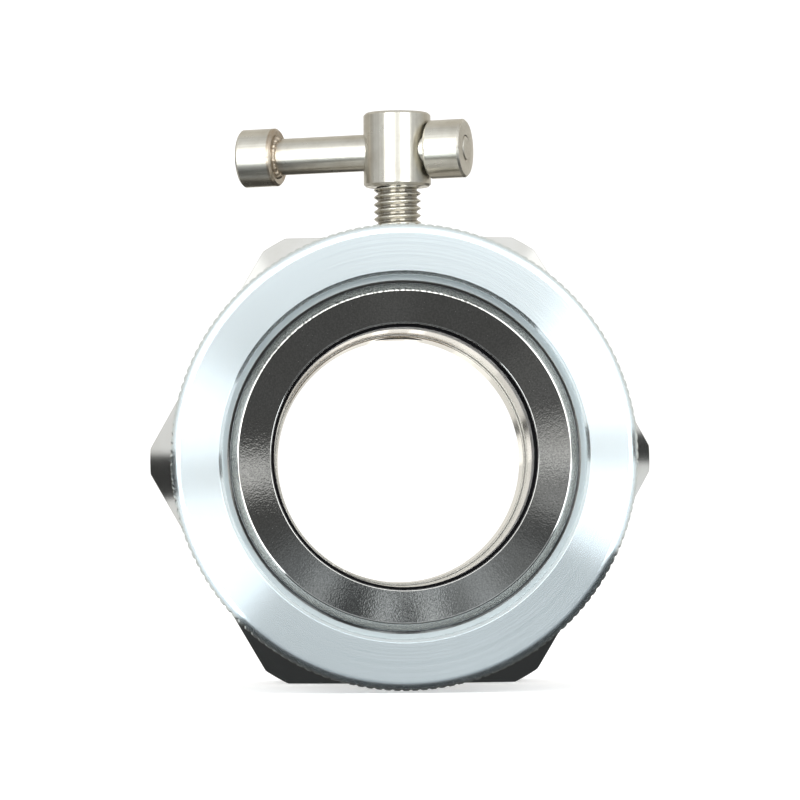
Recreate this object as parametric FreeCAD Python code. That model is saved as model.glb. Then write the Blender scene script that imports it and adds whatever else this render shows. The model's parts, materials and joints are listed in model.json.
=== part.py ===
"""Clamp-on sight glass, 41 mm tube, 75 mm across flats.

Frame: the origin is where the sight axis crosses the clamp screw's axis.  The sight axis is Y and the
viewing side is -Y.  +Z runs up the clamp screw.  All sizes are millimetres.
Turned pieces on the sight axis are drawn as (radius, depth): depth is counted forward, from the rear
face of the hexagon.
"""
import FreeCAD, Part
import math
import os
from FreeCAD import Placement, Rotation, Vector

# ---- hexagonal body --------------------------------------------------------------------------------
HEX_ACROSS_FLATS = 75.0
HEX_CORNER_R = 42.1            # corners are turned down to this radius
HEX_THICK = 21.0
HEX_CHAMFER_R = 37.0           # where the corner chamfer meets the end faces
HEX_CHAMFER_DEG = 30.0

TUBE_R = 20.5                  # 41 mm tube that the fitting is clamped on
SOCKET_R = 20.75
SOCKET_DEPTH = 14.6
MOUTH_CHAMFER = 1.0

SEAL_RING_R = 28.0             # O-ring in the rear face, centre-line radius
SEAL_CORD_R = 1.5
SEAL_PROUD = 0.4

# ---- sight neck, screwed into the front of the hexagon ----------------------------------------------
CHAMBER_R = 21.05
TAIL_R = 26.0                  # male thread of the neck's tail, M52
TAIL_RELIEF_R = 25.2
NECK_GASKET_THICK = 1.0
COLLAR_R = 33.0
COLLAR_GAP = 0.2
COLLAR_LENGTH = 12.0
NECK_THREAD_R = 32.0           # M64 x 2, carries the ring nut
NECK_PITCH = 2.0
NECK_THREAD_DEPTH = 1.08
NECK_RELIEF = 2.5
GLASS_SEAT = 34.5              # depth of the face that carries the glass stack
COUNTERBORE_R = 26.3
NECK_FRONT = 46.8

# ---- glass stack -------------------------------------------------------------------------------------
GASKET_THICK = 1.5
GASKET_OUTER_R = 26.0
REAR_GASKET_INNER_R = 21.1
FRONT_GASKET_INNER_R = 21.3    # against the glass
GASKET_LIP_INNER_R = 20.82     # front edge of the lip that lines the gland's bore
GASKET_LIP_OUTER_R = 21.6
GASKET_LIP_FRONT = 49.5
GASKET_LIP_GAP = 0.05
GLASS_R = 25.5
GLASS_THICK = 8.0
SLEEVE_WALL = 0.65
SLEEVE_GAP = 0.05
SLEEVE_END_GAP = 0.2

# ---- gland ring and ring nut ---------------------------------------------------------------------------
GLAND_INNER_R = 21.23
GLAND_PILOT_R = 26.1
GLAND_FLANGE_R = 31.8
GLAND_FLANGE_BACK = 48.3
GLAND_FLANGE_THICK = 2.0
GLAND_NOSE_R = 27.65
GLAND_NOSE_CHAMFER = 1.05
GLAND_FRONT = 53.2
GLAND_PIN_R = 1.0
GLAND_PIN_CIRCLE_R = 28.6
GLAND_PIN_BACK = 41.5
GLAND_PIN_FRONT = 49.8
GLAND_PIN_CLEARANCE = 0.1

SLIP_WASHER_THICK = 0.5
SLIP_WASHER_INNER_R = 28.3
SLIP_WASHER_OUTER_R = 31.6

NUT_FRONT = 54.0
NUT_BACK = 38.5
NUT_CREST_R = 37.3
NUT_KNURL_DEPTH = 0.42
NUT_KNURL_TEETH = 160
NUT_EDGE_ROUND = 1.7
NUT_BACK_CHAMFER = 1.0
NUT_LIP_R = 29.05
NUT_LIP_CHAMFER = 0.55
NUT_THREAD_CLEARANCE = 0.06

WIRE_R = 0.6                   # snap wire that lets the nut carry the gland off with it
WIRE_RING_R = 31.9
WIRE_GROOVE_R = 32.6
WIRE_BEHIND_FLANGE = 0.2
WIRE_GAP_DEG = 24.0

# ---- clamp screw ---------------------------------------------------------------------------------------
SCREW_R = 4.0                  # M8 x 1.25
SCREW_PITCH = 1.25
SCREW_THREAD_DEPTH = 0.68
SCREW_HOLE_R = 4.05
BOSS_R = 5.75
BOSS_BOTTOM = 46.8
BOSS_TOP = 59.4
BOSS_CHAMFER = 0.4
SCREW_TIP = 25.4               # height where the thread ends
STEM_R = 1.9                   # plain pin below the thread, it turns in the thrust pad
STEM_BOTTOM = 22.6
STEM_NECK_R = 1.45
PAD_R = 3.2
PAD_BOTTOM = 21.4
PAD_TOP = 25.0
PAD_BORE_R = 1.97
CLIP_WIRE_R = 0.3
CLIP_RING_R = 1.92
CLIP_HEIGHT = 24.0
CLIP_GAP_DEG = 40.0

# ---- tommy bar -----------------------------------------------------------------------------------------
BAR_R = 3.15
BAR_HOLE_R = 3.3
BAR_HEIGHT = 52.9
BAR_YAW_DEG = 18.2             # the riveted end points this far towards the viewer
BAR_DROOP_DEG = 0.7            # the long end hangs down in the hole's clearance
CAP_R = 5.0
CAP_LENGTH = 6.4
CAP_CHAMFER = 0.35
RIVETED_CAP_FACE = 5.85        # inner face of the riveted cap, from the screw's axis
WELDED_CAP_FACE = -21.4        # inner face of the welded cap
SPIGOT_R = 2.0
RIVET_DOME = 0.15
WELDED_CAP_BORE = 4.0
CAP_BORE_GAP = 0.05
WELD_LEG = 0.8
WELD_BEAD_R = 0.85
WELD_BEAD_DEGS = (118.0, 250.0)

# ---- small shared sizes ----------------------------------------------------------------------------------
OVERCUT = 1.0                  # how far a cutter runs past the face that it opens
THREAD_CHAMFER = 0.8           # lead-in at the ends of the large threads
EDGE_CHAMFER = 0.4             # broken edges of turned faces
FINE_CHAMFER = 0.25            # broken edges of small or thin faces
THREAD_RELIEF = 0.2            # how much deeper a relief is than the thread beside it
GROOVE_CLEARANCE = 0.1         # room round a wire or cord in its groove

ORIGIN = Vector(0, 0, 0)
UP = Vector(0, 0, 1)
FORWARD = Vector(0, -1, 0)
REAR_FACE = Vector(0, HEX_THICK / 2, 0)
BAR_AXIS = Vector(math.cos(math.radians(BAR_YAW_DEG)) * math.cos(math.radians(BAR_DROOP_DEG)),
                  -math.sin(math.radians(BAR_YAW_DEG)) * math.cos(math.radians(BAR_DROOP_DEG)),
                  math.sin(math.radians(BAR_DROOP_DEG)))
BAR_CENTRE = Vector(0, 0, BAR_HEIGHT)

# depths that follow from the stack
REAR_GASKET_FRONT = GLASS_SEAT + GASKET_THICK
GLASS_FRONT = REAR_GASKET_FRONT + GLASS_THICK
GLAND_BACK = GLASS_FRONT + GASKET_THICK
GLAND_FLANGE_FRONT = GLAND_FLANGE_BACK + GLAND_FLANGE_THICK
NUT_LIP_BACK = GLAND_FLANGE_FRONT + SLIP_WASHER_THICK
WIRE_DEPTH = GLAND_FLANGE_BACK - WIRE_BEHIND_FLANGE - WIRE_R
COLLAR_BACK = HEX_THICK + COLLAR_GAP
COLLAR_FRONT = COLLAR_BACK + COLLAR_LENGTH
TAIL_END = SOCKET_DEPTH + NECK_GASKET_THICK


def rounded_edges(points):
    """Edges of a closed outline of (x, z) or (x, z, corner radius) points."""
    corners = [Vector(p[0], 0, p[1]) for p in points]
    radii = [p[2] if len(p) > 2 else 0.0 for p in points]
    starts, ends, arcs = [], [], []
    for i, corner in enumerate(corners):
        back = (corners[i - 1] - corner).normalize()
        ahead = (corners[(i + 1) % len(corners)] - corner).normalize()
        half = back.getAngle(ahead) / 2
        reach = radii[i] / math.tan(half)
        first = corner + back * reach
        last = corner + ahead * reach
        starts.append(last)
        ends.append(first)
        if radii[i]:
            middle = (back + ahead).normalize()
            mid_point = corner + middle * (radii[i] / math.sin(half) - radii[i])
            arcs.append(Part.Arc(first, mid_point, last).toShape())
        else:
            arcs.append(None)
    edges = []
    for i, arc in enumerate(arcs):
        if arc:
            edges.append(arc)
        edges.append(Part.makeLine(starts[i], ends[(i + 1) % len(ends)]))
    return edges


def turned(points, base=REAR_FACE, axis=FORWARD):
    """Solid turned from (radius, height) points about an axis through base."""
    face = Part.Face(Part.Wire(rounded_edges(points)))
    solid = face.revolve(ORIGIN, UP, 360)
    solid.Placement = Placement(base, Rotation(UP, axis))
    return solid


def ring(inner, outer, low, high, base=REAR_FACE, axis=FORWARD):
    """Plain turned ring with a square section."""
    return turned([(inner, low), (outer, low), (outer, high), (inner, high)], base, axis)


def rod(radius, low, high, base=REAR_FACE, axis=FORWARD):
    """Plain cylinder between two heights on an axis."""
    return Part.makeCylinder(radius, high - low, base + Vector(axis) * low, axis)


def wire_ring(ring_r, cord_r, height, gap_deg=0.0, base=REAR_FACE, axis=FORWARD):
    """Round wire or cord bent to a ring, with an optional gap that faces down the local X axis."""
    section = Part.makeCircle(cord_r, Vector(ring_r, 0, height), Vector(0, 1, 0))
    face = Part.Face(Part.Wire(section))
    solid = face.revolve(ORIGIN, UP, 360 - gap_deg)
    solid.rotate(ORIGIN, UP, gap_deg / 2)
    solid.Placement = Placement(base, Rotation(UP, axis)).multiply(solid.Placement)
    return solid


def thread_outline(crest_r, depth, pitch, low, high):
    """Outline points of a run of thread grooves, from low to high."""
    points = []
    turns = int((high - low) / pitch)
    start = low + (high - low - turns * pitch) / 2
    flat = pitch / 8
    for turn in range(turns):
        groove = start + turn * pitch
        points.append((crest_r, groove + flat / 2))
        points.append((crest_r - depth, groove + pitch / 2 - flat / 2))
        points.append((crest_r - depth, groove + pitch / 2 + flat / 2))
        points.append((crest_r, groove + pitch - flat / 2))
    return points


def hex_body():
    """Hexagonal body: tube socket, clamp screw hole, rear seal groove, thread for the neck."""
    corner_r = HEX_ACROSS_FLATS / math.sqrt(3)
    corners = [Vector(corner_r * math.cos(math.radians(60 * i)), HEX_THICK / 2,
                      corner_r * math.sin(math.radians(60 * i))) for i in range(6)]
    blank = Part.Face(Part.makePolygon(corners + corners[:1])).extrude(FORWARD * HEX_THICK)
    fall = (HEX_CORNER_R - HEX_CHAMFER_R) * math.tan(math.radians(HEX_CHAMFER_DEG))
    envelope = turned([(0, 0), (HEX_CHAMFER_R, 0), (HEX_CORNER_R, fall),
                       (HEX_CORNER_R, HEX_THICK - fall), (HEX_CHAMFER_R, HEX_THICK), (0, HEX_THICK)])
    mouth_r = SOCKET_R + MOUTH_CHAMFER + OVERCUT
    thread_mouth_r = TAIL_R + THREAD_CHAMFER + OVERCUT
    bore = turned([(0, -OVERCUT), (mouth_r, -OVERCUT), (SOCKET_R, MOUTH_CHAMFER),
                   (SOCKET_R, SOCKET_DEPTH), (TAIL_R, SOCKET_DEPTH), (TAIL_R, HEX_THICK - THREAD_CHAMFER),
                   (thread_mouth_r, HEX_THICK + OVERCUT), (0, HEX_THICK + OVERCUT)])
    groove_half = SEAL_CORD_R + GROOVE_CLEARANCE
    groove = ring(SEAL_RING_R - groove_half, SEAL_RING_R + groove_half,
                  -OVERCUT, 2 * SEAL_CORD_R - SEAL_PROUD)
    screw_hole = rod(SCREW_HOLE_R, 0, HEX_ACROSS_FLATS, ORIGIN, UP)
    countersink = turned([(0, -THREAD_CHAMFER), (SCREW_HOLE_R, -THREAD_CHAMFER),
                          (SCREW_HOLE_R + THREAD_CHAMFER + OVERCUT, OVERCUT), (0, OVERCUT)],
                         Vector(0, 0, HEX_ACROSS_FLATS / 2), UP)
    return blank.common(envelope).cut(bore).cut(groove).cut(screw_hole).cut(countersink)


def face_seal():
    """O-ring that stands proud of the rear face."""
    return wire_ring(SEAL_RING_R, SEAL_CORD_R, SEAL_CORD_R - SEAL_PROUD)


def neck_gasket():
    """Flat ring between the neck's tail and the shoulder in the hexagon."""
    return ring(CHAMBER_R, TAIL_RELIEF_R, SOCKET_DEPTH, TAIL_END)


def sight_neck():
    """Turned neck: tail thread, plain collar, nut thread, viewing chamber and glass seat."""
    outline = [(CHAMBER_R, TAIL_END), (TAIL_RELIEF_R, TAIL_END)]
    outline += [(TAIL_R, TAIL_END + THREAD_CHAMFER), (TAIL_R, COLLAR_BACK)]
    outline += [(COLLAR_R - EDGE_CHAMFER, COLLAR_BACK), (COLLAR_R, COLLAR_BACK + EDGE_CHAMFER)]
    outline += [(COLLAR_R, COLLAR_FRONT - THREAD_CHAMFER), (COLLAR_R - THREAD_CHAMFER, COLLAR_FRONT)]
    relief_r = NECK_THREAD_R - NECK_THREAD_DEPTH - THREAD_RELIEF
    outline += [(relief_r, COLLAR_FRONT), (relief_r, COLLAR_FRONT + NECK_RELIEF)]
    outline += thread_outline(NECK_THREAD_R, NECK_THREAD_DEPTH, NECK_PITCH,
                              COLLAR_FRONT + NECK_RELIEF + THREAD_CHAMFER, NECK_FRONT - THREAD_CHAMFER)
    outline += [(NECK_THREAD_R - NECK_THREAD_DEPTH, NECK_FRONT), (COUNTERBORE_R + EDGE_CHAMFER, NECK_FRONT)]
    outline += [(COUNTERBORE_R, NECK_FRONT - EDGE_CHAMFER), (COUNTERBORE_R, GLASS_SEAT)]
    outline += [(CHAMBER_R + FINE_CHAMFER, GLASS_SEAT), (CHAMBER_R, GLASS_SEAT - FINE_CHAMFER)]
    neck = turned(outline)
    for hole in pin_rods(0.0):
        neck = neck.cut(hole)
    return neck


def pin_rods(clearance):
    """The two anti-turn pins, or holes for them with a clearance, left and right of the sight axis."""
    rods = []
    for side in (-1, 1):
        base = REAR_FACE + Vector(side * GLAND_PIN_CIRCLE_R, 0, 0)
        rods.append(rod(GLAND_PIN_R + clearance, GLAND_PIN_BACK, GLAND_PIN_FRONT, base))
    return rods


def gland_pins():
    """Two pins in the neck that stop the gland ring turning on its gasket."""
    return Part.makeCompound(pin_rods(0.0))


def rear_gasket():
    """Gasket behind the glass."""
    return ring(REAR_GASKET_INNER_R, GASKET_OUTER_R, GLASS_SEAT, REAR_GASKET_FRONT)


def front_gasket():
    """Gasket in front of the glass, with a lip that stands in the gland's bore."""
    return turned([(FRONT_GASKET_INNER_R, GLASS_FRONT), (GASKET_OUTER_R, GLASS_FRONT),
                   (GASKET_OUTER_R, GLAND_BACK), (GASKET_LIP_OUTER_R, GLAND_BACK),
                   (GASKET_LIP_OUTER_R, GASKET_LIP_FRONT), (GASKET_LIP_INNER_R, GASKET_LIP_FRONT)])


def sight_disc():
    """Toughened glass disc with ground edges."""
    return turned([(0, REAR_GASKET_FRONT), (GLASS_R - EDGE_CHAMFER, REAR_GASKET_FRONT),
                   (GLASS_R, REAR_GASKET_FRONT + EDGE_CHAMFER), (GLASS_R, GLASS_FRONT - EDGE_CHAMFER),
                   (GLASS_R - EDGE_CHAMFER, GLASS_FRONT), (0, GLASS_FRONT)])


def glass_sleeve():
    """Thin sleeve that keeps the glass off the metal counterbore."""
    inner = GLASS_R + SLEEVE_GAP
    return ring(inner, inner + SLEEVE_WALL, REAR_GASKET_FRONT + SLEEVE_END_GAP, GLASS_FRONT - SLEEVE_END_GAP)


def gland_ring():
    """Gland ring: pilot in the counterbore, flange behind the nut's lip, nose round the window."""
    step_r = GASKET_LIP_OUTER_R + GASKET_LIP_GAP
    step = GASKET_LIP_FRONT + GASKET_LIP_GAP
    gland = turned([(GLAND_INNER_R, step), (step_r, step),
                    (step_r, GLAND_BACK), (GLAND_PILOT_R, GLAND_BACK),
                    (GLAND_PILOT_R, GLAND_FLANGE_BACK), (GLAND_FLANGE_R, GLAND_FLANGE_BACK),
                    (GLAND_FLANGE_R, GLAND_FLANGE_FRONT), (GLAND_NOSE_R, GLAND_FLANGE_FRONT),
                    (GLAND_NOSE_R, GLAND_FRONT - GLAND_NOSE_CHAMFER),
                    (GLAND_NOSE_R - GLAND_NOSE_CHAMFER, GLAND_FRONT),
                    (GLAND_INNER_R + FINE_CHAMFER, GLAND_FRONT), (GLAND_INNER_R, GLAND_FRONT - FINE_CHAMFER)])
    for hole in pin_rods(GLAND_PIN_CLEARANCE):
        gland = gland.cut(hole)
    return gland


def slip_washer():
    """Thin washer on which the nut's lip turns against the gland flange."""
    return ring(SLIP_WASHER_INNER_R, SLIP_WASHER_OUTER_R, GLAND_FLANGE_FRONT, NUT_LIP_BACK)


def retaining_wire():
    """Open snap wire in the nut's groove, behind the gland flange."""
    return wire_ring(WIRE_RING_R, WIRE_R, WIRE_DEPTH, WIRE_GAP_DEG)


def knurled_blank():
    """Prism with a straight-knurled rim, as long as the nut."""
    root_r = NUT_CREST_R - NUT_KNURL_DEPTH
    rim = []
    for i in range(2 * NUT_KNURL_TEETH):
        angle = math.pi * i / NUT_KNURL_TEETH
        radius = NUT_CREST_R if i % 2 == 0 else root_r
        rim.append(Vector(radius * math.cos(angle), REAR_FACE.y - NUT_BACK, radius * math.sin(angle)))
    return Part.Face(Part.makePolygon(rim + rim[:1])).extrude(FORWARD * (NUT_FRONT - NUT_BACK))


def ring_nut():
    """Knurled ring nut with an inward lip."""
    bore_r = NECK_THREAD_R + NUT_THREAD_CLEARANCE
    groove_low = WIRE_DEPTH - WIRE_R - GROOVE_CLEARANCE
    groove_high = WIRE_DEPTH + WIRE_R + GROOVE_CLEARANCE
    envelope = turned([(bore_r + THREAD_CHAMFER, NUT_BACK), (NUT_CREST_R - NUT_BACK_CHAMFER, NUT_BACK),
                       (NUT_CREST_R, NUT_BACK + NUT_BACK_CHAMFER),
                       (NUT_CREST_R, NUT_FRONT, NUT_EDGE_ROUND),
                       (NUT_LIP_R + NUT_LIP_CHAMFER, NUT_FRONT), (NUT_LIP_R, NUT_FRONT - NUT_LIP_CHAMFER),
                       (NUT_LIP_R, NUT_LIP_BACK), (bore_r, NUT_LIP_BACK),
                       (bore_r, groove_high), (WIRE_GROOVE_R, groove_high),
                       (WIRE_GROOVE_R, groove_low), (bore_r, groove_low),
                       (bore_r, NUT_BACK + THREAD_CHAMFER)])
    return knurled_blank().common(envelope)


def clamp_screw():
    """Clamp screw: cross-drilled boss, M8 thread and a necked stem that turns in the pad."""
    clip_half = CLIP_WIRE_R + GROOVE_CLEARANCE
    outline = [(0, STEM_BOTTOM), (STEM_R - FINE_CHAMFER, STEM_BOTTOM), (STEM_R, STEM_BOTTOM + FINE_CHAMFER)]
    outline += [(STEM_R, CLIP_HEIGHT - clip_half), (STEM_NECK_R, CLIP_HEIGHT - clip_half)]
    outline += [(STEM_NECK_R, CLIP_HEIGHT + clip_half), (STEM_R, CLIP_HEIGHT + clip_half)]
    outline += [(STEM_R, SCREW_TIP), (SCREW_R - SCREW_THREAD_DEPTH - THREAD_RELIEF, SCREW_TIP)]
    outline += thread_outline(SCREW_R, SCREW_THREAD_DEPTH, SCREW_PITCH, SCREW_TIP + EDGE_CHAMFER, BOSS_BOTTOM)
    outline += [(SCREW_R, BOSS_BOTTOM), (BOSS_R - BOSS_CHAMFER, BOSS_BOTTOM)]
    outline += [(BOSS_R, BOSS_BOTTOM + BOSS_CHAMFER), (BOSS_R, BOSS_TOP - BOSS_CHAMFER)]
    outline += [(BOSS_R - BOSS_CHAMFER, BOSS_TOP), (0, BOSS_TOP)]
    screw = turned(outline, ORIGIN, UP)
    level_axis = Vector(BAR_AXIS.x, BAR_AXIS.y, 0).normalize()
    cross_hole = rod(BAR_HOLE_R, -2 * BOSS_R, 2 * BOSS_R, BAR_CENTRE, level_axis)
    return screw.cut(cross_hole)


def thrust_pad():
    """Round pad under the screw; it presses on the tube without turning."""
    groove_r = PAD_BORE_R + CLIP_WIRE_R
    clip_half = CLIP_WIRE_R + GROOVE_CLEARANCE
    bore_end = STEM_BOTTOM - GROOVE_CLEARANCE
    return turned([(0, PAD_BOTTOM), (PAD_R - FINE_CHAMFER, PAD_BOTTOM), (PAD_R, PAD_BOTTOM + FINE_CHAMFER),
                   (PAD_R, PAD_TOP), (PAD_BORE_R, PAD_TOP), (PAD_BORE_R, CLIP_HEIGHT + clip_half),
                   (groove_r, CLIP_HEIGHT + clip_half), (groove_r, CLIP_HEIGHT - clip_half),
                   (PAD_BORE_R, CLIP_HEIGHT - clip_half), (PAD_BORE_R, bore_end),
                   (0, bore_end)], ORIGIN, UP)


def pad_clip():
    """Open wire clip in the pad's groove; it hooks the neck of the screw's stem."""
    return wire_ring(CLIP_RING_R, CLIP_WIRE_R, CLIP_HEIGHT, CLIP_GAP_DEG, ORIGIN, UP)


def tommy_bar():
    """Sliding bar: full size to the riveted cap, then a spigot whose end is peened over."""
    end = RIVETED_CAP_FACE + CAP_LENGTH
    return turned([(0, WELDED_CAP_FACE - WELDED_CAP_BORE), (BAR_R, WELDED_CAP_FACE - WELDED_CAP_BORE),
                   (BAR_R, RIVETED_CAP_FACE), (SPIGOT_R, RIVETED_CAP_FACE), (SPIGOT_R, end),
                   (SPIGOT_R - RIVET_DOME, end + RIVET_DOME), (0, end + RIVET_DOME)],
                  BAR_CENTRE, BAR_AXIS)


def bar_cap_riveted():
    """Cap with a through hole, held by the peened end of the bar."""
    low = RIVETED_CAP_FACE
    high = RIVETED_CAP_FACE + CAP_LENGTH
    return turned([(SPIGOT_R, low), (CAP_R - CAP_CHAMFER, low), (CAP_R, low + CAP_CHAMFER),
                   (CAP_R, high - CAP_CHAMFER), (CAP_R - CAP_CHAMFER, high), (SPIGOT_R, high)],
                  BAR_CENTRE, BAR_AXIS)


def bar_cap_welded():
    """Cap with a blind hole, welded on the far end of the bar."""
    low = WELDED_CAP_FACE - CAP_LENGTH
    high = WELDED_CAP_FACE
    bore_r = BAR_R + CAP_BORE_GAP
    return turned([(0, low), (CAP_R - CAP_CHAMFER, low), (CAP_R, low + CAP_CHAMFER),
                   (CAP_R, high - CAP_CHAMFER), (CAP_R - CAP_CHAMFER, high), (bore_r, high),
                   (bore_r, high - WELDED_CAP_BORE), (0, high - WELDED_CAP_BORE)], BAR_CENTRE, BAR_AXIS)


def cap_weld():
    """Weld round the bar at the cap's face, with two heavier beads."""
    fillet = turned([(BAR_R, WELDED_CAP_FACE), (BAR_R + WELD_LEG, WELDED_CAP_FACE),
                     (BAR_R, WELDED_CAP_FACE + WELD_LEG)], BAR_CENTRE, BAR_AXIS)
    bar_frame = Placement(BAR_CENTRE, Rotation(UP, BAR_AXIS))
    keep = ring(BAR_R, CAP_R, WELDED_CAP_FACE, WELDED_CAP_FACE + 2 * WELD_BEAD_R, BAR_CENTRE, BAR_AXIS)
    for bead_deg in WELD_BEAD_DEGS:
        angle = math.radians(bead_deg)
        centre = Vector((BAR_R + WELD_LEG / 2) * math.cos(angle),
                        (BAR_R + WELD_LEG / 2) * math.sin(angle), WELDED_CAP_FACE + WELD_LEG / 2)
        bead = Part.makeSphere(WELD_BEAD_R, bar_frame.multVec(centre))
        fillet = fillet.fuse(bead.common(keep))
    return fillet


PIECES = (hex_body, face_seal, neck_gasket, sight_neck, gland_pins, rear_gasket, sight_disc, glass_sleeve,
          front_gasket, gland_ring, slip_washer, retaining_wire, ring_nut, clamp_screw, thrust_pad,
          pad_clip, tommy_bar, bar_cap_riveted, bar_cap_welded, cap_weld)


def main():
    os.makedirs("parts", exist_ok=True)
    for make_piece in PIECES:
        shape = make_piece()
        print(f"{make_piece.__name__:18s} valid {shape.isValid()}  volume {shape.Volume:10.2f}")
        shape.exportStep(os.path.join("parts", make_piece.__name__ + ".step"))


main()
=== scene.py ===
"""Clamp-on sight glass: detailed pieces, materials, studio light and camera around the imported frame.

The sight axis is Y, the viewer is at -Y and +Z runs up the clamp screw.  Sizes are written in
millimetres and turned into metres by MM.  Pieces on the sight axis are drawn as (radius, depth), with
depth counted forward from the rear face of the hexagon.
"""
import json
import math

import bpy
from mathutils import Matrix, Vector, noise


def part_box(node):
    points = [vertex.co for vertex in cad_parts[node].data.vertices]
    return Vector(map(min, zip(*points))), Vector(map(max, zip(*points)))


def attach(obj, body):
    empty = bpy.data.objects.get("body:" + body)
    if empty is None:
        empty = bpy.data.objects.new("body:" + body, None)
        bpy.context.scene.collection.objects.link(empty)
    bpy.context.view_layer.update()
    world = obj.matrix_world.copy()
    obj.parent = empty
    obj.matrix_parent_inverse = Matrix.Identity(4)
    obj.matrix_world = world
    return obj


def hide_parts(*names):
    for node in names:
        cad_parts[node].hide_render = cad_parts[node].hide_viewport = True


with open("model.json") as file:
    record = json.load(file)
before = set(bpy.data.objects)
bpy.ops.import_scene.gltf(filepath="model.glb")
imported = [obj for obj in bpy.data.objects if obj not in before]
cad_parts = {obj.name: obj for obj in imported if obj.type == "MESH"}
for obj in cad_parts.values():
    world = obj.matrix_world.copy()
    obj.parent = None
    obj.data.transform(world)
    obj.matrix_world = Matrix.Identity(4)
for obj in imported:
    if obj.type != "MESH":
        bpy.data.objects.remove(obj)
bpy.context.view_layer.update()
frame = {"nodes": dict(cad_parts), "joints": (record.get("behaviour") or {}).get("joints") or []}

MM = 0.001

# ---- places and sizes taken from the frame -------------------------------------------------------
HEX_LOW, HEX_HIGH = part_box("hex_body")
NUT_LOW, NUT_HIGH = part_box("ring_nut")
GLAND_LOW, GLAND_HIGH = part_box("gland_ring")
NECK_LOW, NECK_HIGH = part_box("sight_neck")
GLASS_LOW, GLASS_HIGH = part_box("sight_disc")
GASKET_LOW, GASKET_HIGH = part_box("front_gasket")
SCREW_LOW, SCREW_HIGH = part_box("clamp_screw")
JOINTS = {joint["name"]: joint for joint in frame["joints"]}
BAR_AXIS = Vector(JOINTS["bar_slide"]["axis"]).normalized()

REAR_Y = HEX_HIGH.y
UP = Vector((0, 0, 1))


def depth(y):
    """Depth in millimetres, forward from the rear face, of a place on the sight axis."""
    return (REAR_Y - y) / MM


# ---- sizes inside the pieces, millimetres --------------------------------------------------------
HEX_THICK = depth(HEX_LOW.y)
HEX_FLAT = HEX_HIGH.z / MM
HEX_CORNER_R = HEX_HIGH.x / MM
HEX_CHAMFER_R = 37.0
HEX_CHAMFER_SLOPE = math.tan(math.radians(30))
SOCKET_R = 20.75
SOCKET_DEPTH = 14.6
TAIL_R = 26.0
SEAL_RING_R = 28.0
SEAL_GROOVE_HALF = 1.6
SEAL_GROOVE_DEPTH = 2.6
SCREW_HOLE_R = 4.05

CHAMBER_R = 21.05
TAIL_RELIEF_R = 25.2
TAIL_END = depth(NECK_HIGH.y)
COLLAR_R = NECK_HIGH.x / MM
COLLAR_BACK = 21.2
COLLAR_FRONT = 33.2
NECK_THREAD_R = 32.0
NECK_PITCH = 2.0
NECK_THREAD_DEPTH = 1.08
NECK_RELIEF = 2.5
NECK_FRONT = depth(NECK_LOW.y)
GLASS_SEAT = 34.5
COUNTERBORE_R = 26.3

GASKET_INNER_R = 21.3
GASKET_LIP_INNER_R = 20.82
GASKET_LIP_OUTER_R = 21.6

GLAND_INNER_R = 21.23
GLAND_STEP_R = 21.65
GLAND_STEP = 49.55
GLAND_PILOT_R = 26.1
GLAND_FLANGE_R = GLAND_HIGH.x / MM
GLAND_BACK = depth(GLAND_HIGH.y)
GLAND_FLANGE_BACK = 48.3
GLAND_FLANGE_FRONT = 50.3
GLAND_NOSE_R = 27.65
GLAND_NOSE_CHAMFER = 1.05
GLAND_FRONT = depth(GLAND_LOW.y)

NUT_FRONT = depth(NUT_LOW.y)
NUT_BACK = depth(NUT_HIGH.y)
NUT_CREST_R = NUT_HIGH.x / MM
NUT_KNURL_DEPTH = 0.25
NUT_TEETH = 160
NUT_EDGE_ROUND = 1.7
NUT_BORE_R = 32.06
NUT_LIP_R = 29.05
NUT_LIP_CHAMFER = 0.55
NUT_LIP_BACK = 50.8
WIRE_GROOVE_R = 32.6
WIRE_GROOVE = (46.8, 48.2)

SCREW_R = 4.0
SCREW_PITCH = 1.25
SCREW_THREAD_DEPTH = 0.68
SCREW_TIP = 25.4
BOSS_R = SCREW_HIGH.x / MM
BOSS_TOP = SCREW_HIGH.z / MM
BOSS_BOTTOM = 46.8
BOSS_CHAMFER = 0.4
STEM_BOTTOM = SCREW_LOW.z / MM
STEM_R = 1.9
STEM_NECK_R = 1.45
CLIP_HEIGHT = 24.0

BAR_CENTRE = Vector((0, 0, 52.9 * MM))
BAR_R = 3.15
BAR_HOLE_R = 3.3
CAP_R = 5.0
CAP_LENGTH = 6.4
CAP_CHAMFER = 0.35
RIVETED_CAP_FACE = 5.85
WELDED_CAP_FACE = -21.4
WELDED_CAP_BORE = 4.0
SPIGOT_R = 2.0
RIVET_DOME = 0.15

FINE_EDGE = 0.08               # rounding of crisp turned edges
SOFT_EDGE = 0.15               # rounding of edges that were broken with a file or a tool
SUPPORT = 0.2                  # a row of vertices this far from a fine edge keeps the face beside it flat
ARC_STEPS = 4
SEGMENTS = 288
SHARP_DEG = 32.0               # edges sharper than this stay crisp
THREAD_SHARP_DEG = 72.0        # the same on a piece with a thread, whose crests and roots are rounded


# ---- mesh helpers --------------------------------------------------------------------------------
SIGHT_PLACE = Matrix(((1, 0, 0, 0), (0, 0, -1, REAR_Y), (0, 1, 0, 0), (0, 0, 0, 1)))
SCREW_PLACE = Matrix.Identity(4)
bar_side = UP.cross(BAR_AXIS).normalized()
bar_up = BAR_AXIS.cross(bar_side)
BAR_PLACE = Matrix.Translation(BAR_CENTRE) @ Matrix((bar_side, bar_up, BAR_AXIS)).transposed().to_4x4()


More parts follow.
